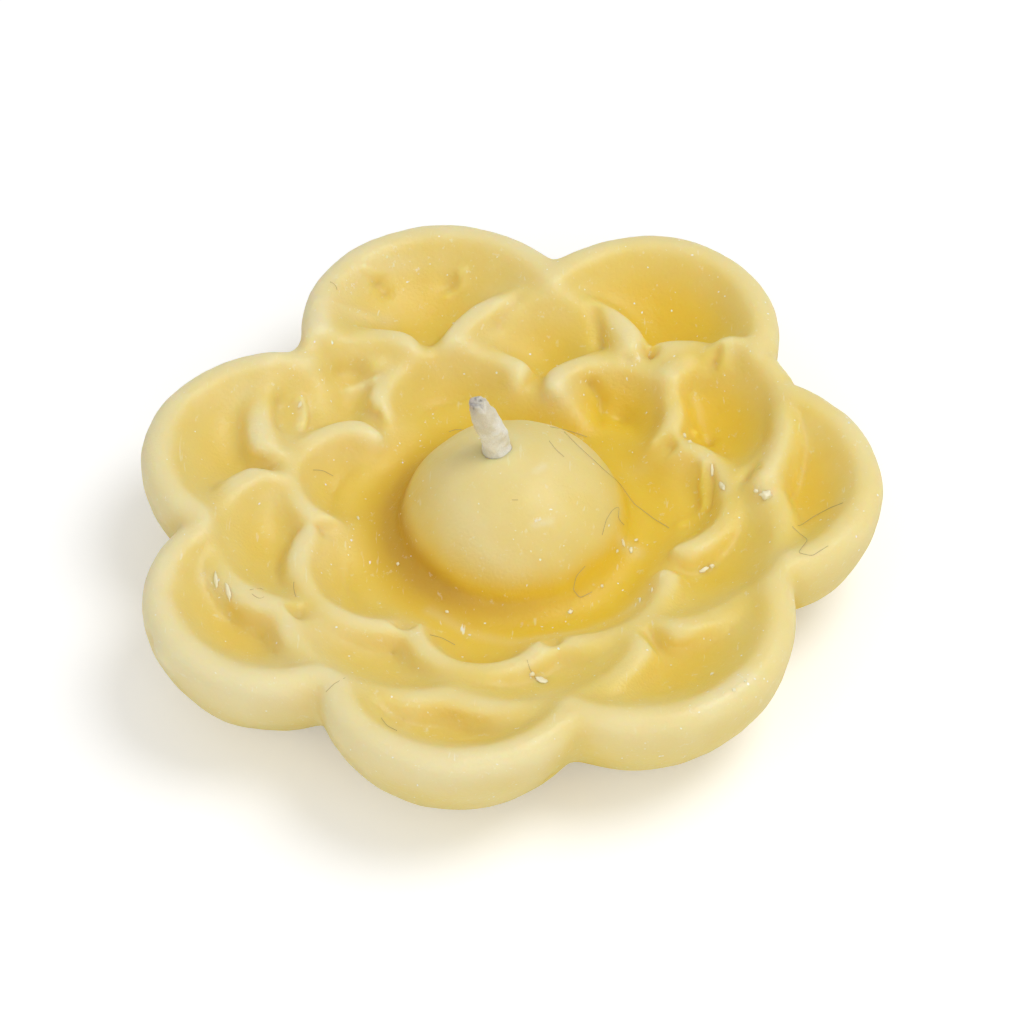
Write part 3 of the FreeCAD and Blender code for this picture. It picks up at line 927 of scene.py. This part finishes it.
crumbs = {
    "colour": (0.93, 0.86, 0.58, 1),
    "seed": 11,
    "raised": 0.12,    # share of its height by which a crumb's middle stands off the wax
    # pixel, length, breadth and height in mm, turn in degrees
    "bits": [
        ((541, 680), 1.5, 0.7, 0.3, 35), ((532, 674), 0.5, 0.4, 0.25, 0),
        ((766, 495), 1.1, 0.9, 0.6, 20), ((756, 491), 0.5, 0.4, 0.3, 0),
        ((623, 543), 0.8, 0.3, 0.25, 70), ((631, 550), 0.7, 0.3, 0.25, 20),
        ((617, 551), 0.4, 0.3, 0.2, 0), ((636, 540), 0.5, 0.25, 0.2, -40),
        ((712, 470), 1.3, 0.3, 0.18, -60), ((722, 486), 1.2, 0.5, 0.15, 15),
        ((216, 580), 1.6, 0.4, 0.2, -40), ((228, 592), 1.8, 0.45, 0.2, -35),
        ((712, 674), 0.4, 0.3, 0.2, 0), ((734, 690), 0.4, 0.35, 0.2, 0),
        ((745, 681), 0.3, 0.25, 0.15, 0), ((447, 612), 0.35, 0.3, 0.25, 0),
        ((398, 564), 0.35, 0.3, 0.25, 0), ((570, 612), 0.5, 0.4, 0.25, 10),
        ((602, 586), 0.35, 0.3, 0.2, 0), ((640, 600), 0.9, 0.25, 0.15, 30),
        ((652, 590), 0.8, 0.25, 0.15, 20), ((704, 570), 1.2, 0.4, 0.25, 15),
        ((712, 566), 0.5, 0.4, 0.3, 0), ((358, 518), 0.5, 0.25, 0.2, -30),
        ((300, 405), 0.7, 0.3, 0.25, 80), ((684, 436), 0.8, 0.4, 0.35, -20),
        ((690, 442), 0.5, 0.35, 0.3, 0),
    ],
}


def makeCrumbs():
    random.seed(crumbs["seed"])
    tree = searchTree(waxFlower, readPoints(waxFlower))
    pieces = []
    for pixel, length, breadth, height, turn in crumbs["bits"]:
        touched = touch(tree, pixel)
        if not touched:
            continue
        spot, normal = touched
        deselectAll()
        bpy.ops.mesh.primitive_ico_sphere_add(subdivisions=3, radius=0.5 * mm)
        piece = bpy.context.active_object
        facing = Vector(normal).to_track_quat("Z", "Y")
        shift = random.uniform(0, 90)
        points = readPoints(piece)
        shift = Vector((shift, 0, 0))
        rough = np.array([1 + 0.5 * noise.noise(Vector(p) * 3.5 + shift) for p in points])
        points *= rough[:, None] * (length, breadth, height)
        around = math.radians(turn)
        turned = points.copy()
        turned[:, 0] = points[:, 0] * math.cos(around) - points[:, 1] * math.sin(around)
        turned[:, 1] = points[:, 0] * math.sin(around) + points[:, 1] * math.cos(around)
        seat = Vector(spot) + Vector(normal) * height * crumbs["raised"]
        placed = [facing @ Vector(p) + seat for p in turned]
        writePoints(piece, np.array(placed))
        pieces.append(piece)
    return joinPieces(pieces, "crumbs")


def makeCrumbMaterial():
    material = bpy.data.materials.new("crumbs")
    material.use_nodes = True
    shader = material.node_tree.nodes["Principled BSDF"]
    shader.inputs["Base Color"].default_value = crumbs["colour"]
    shader.inputs["Roughness"].default_value = 0.35
    return material


crumbPiece = makeCrumbs()
crumbPiece.data.materials.clear()
crumbPiece.data.materials.append(makeCrumbMaterial())
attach(crumbPiece, "root")
print("crumbs finished")

# floor, background and lights

studio = {
    "floorSize": 4.0,
    "floorGlow": 0.25,
    "worldLight": 0.45,
    "lights": [
        # name, place, size and power
        ("key", (0.32, 0.05, 0.65), 0.45, 2.2),
        ("fill", (-0.45, -0.50, 0.45), 0.6, 0.7),
        ("front", (0.10, -0.60, 0.35), 0.5, 0.7),
    ],
}


def makeStudio():
    bpy.ops.mesh.primitive_plane_add(size=studio["floorSize"], location=(0, 0, 0))
    floor = bpy.context.active_object
    floor.name = "floor"
    material = bpy.data.materials.new("floor")
    material.use_nodes = True
    shader = material.node_tree.nodes["Principled BSDF"]
    shader.inputs["Base Color"].default_value = (0.93, 0.93, 0.93, 1)
    shader.inputs["Roughness"].default_value = 0.9
    shader.inputs["Emission Color"].default_value = (1, 1, 1, 1)
    seen = newNode(material.node_tree, "ShaderNodeLightPath")
    glow = newNode(material.node_tree, "ShaderNodeMath", operation="MULTIPLY")
    glow.inputs[1].default_value = studio["floorGlow"]
    material.node_tree.links.new(seen.outputs["Is Camera Ray"], glow.inputs[0])
    material.node_tree.links.new(glow.outputs[0], shader.inputs["Emission Strength"])
    floor.data.materials.append(material)
    for name, place, size, power in studio["lights"]:
        data = bpy.data.lights.new(name, "AREA")
        data.shape = "DISK"
        data.size = size
        data.energy = power
        lamp = bpy.data.objects.new(name, data)
        lamp.location = place
        toFlower = Vector((0, 0, 0.01)) - Vector(place)
        lamp.rotation_euler = toFlower.to_track_quat("-Z", "Y").to_euler()
        bpy.context.scene.collection.objects.link(lamp)
    world = bpy.context.scene.world or bpy.data.worlds.new("world")
    bpy.context.scene.world = world
    world.use_nodes = True
    tree = world.node_tree
    back = tree.nodes["Background"]
    back.inputs["Color"].default_value = (1, 1, 1, 1)
    seen = newNode(tree, "ShaderNodeLightPath")
    level = newNode(tree, "ShaderNodeMapRange")
    level.inputs["To Min"].default_value = studio["worldLight"]
    level.inputs["To Max"].default_value = 1.0
    tree.links.new(seen.outputs["Is Camera Ray"], level.inputs["Value"])
    tree.links.new(level.outputs["Result"], back.inputs["Strength"])


makeStudio()
bpy.context.scene.view_settings.view_transform = "Standard"
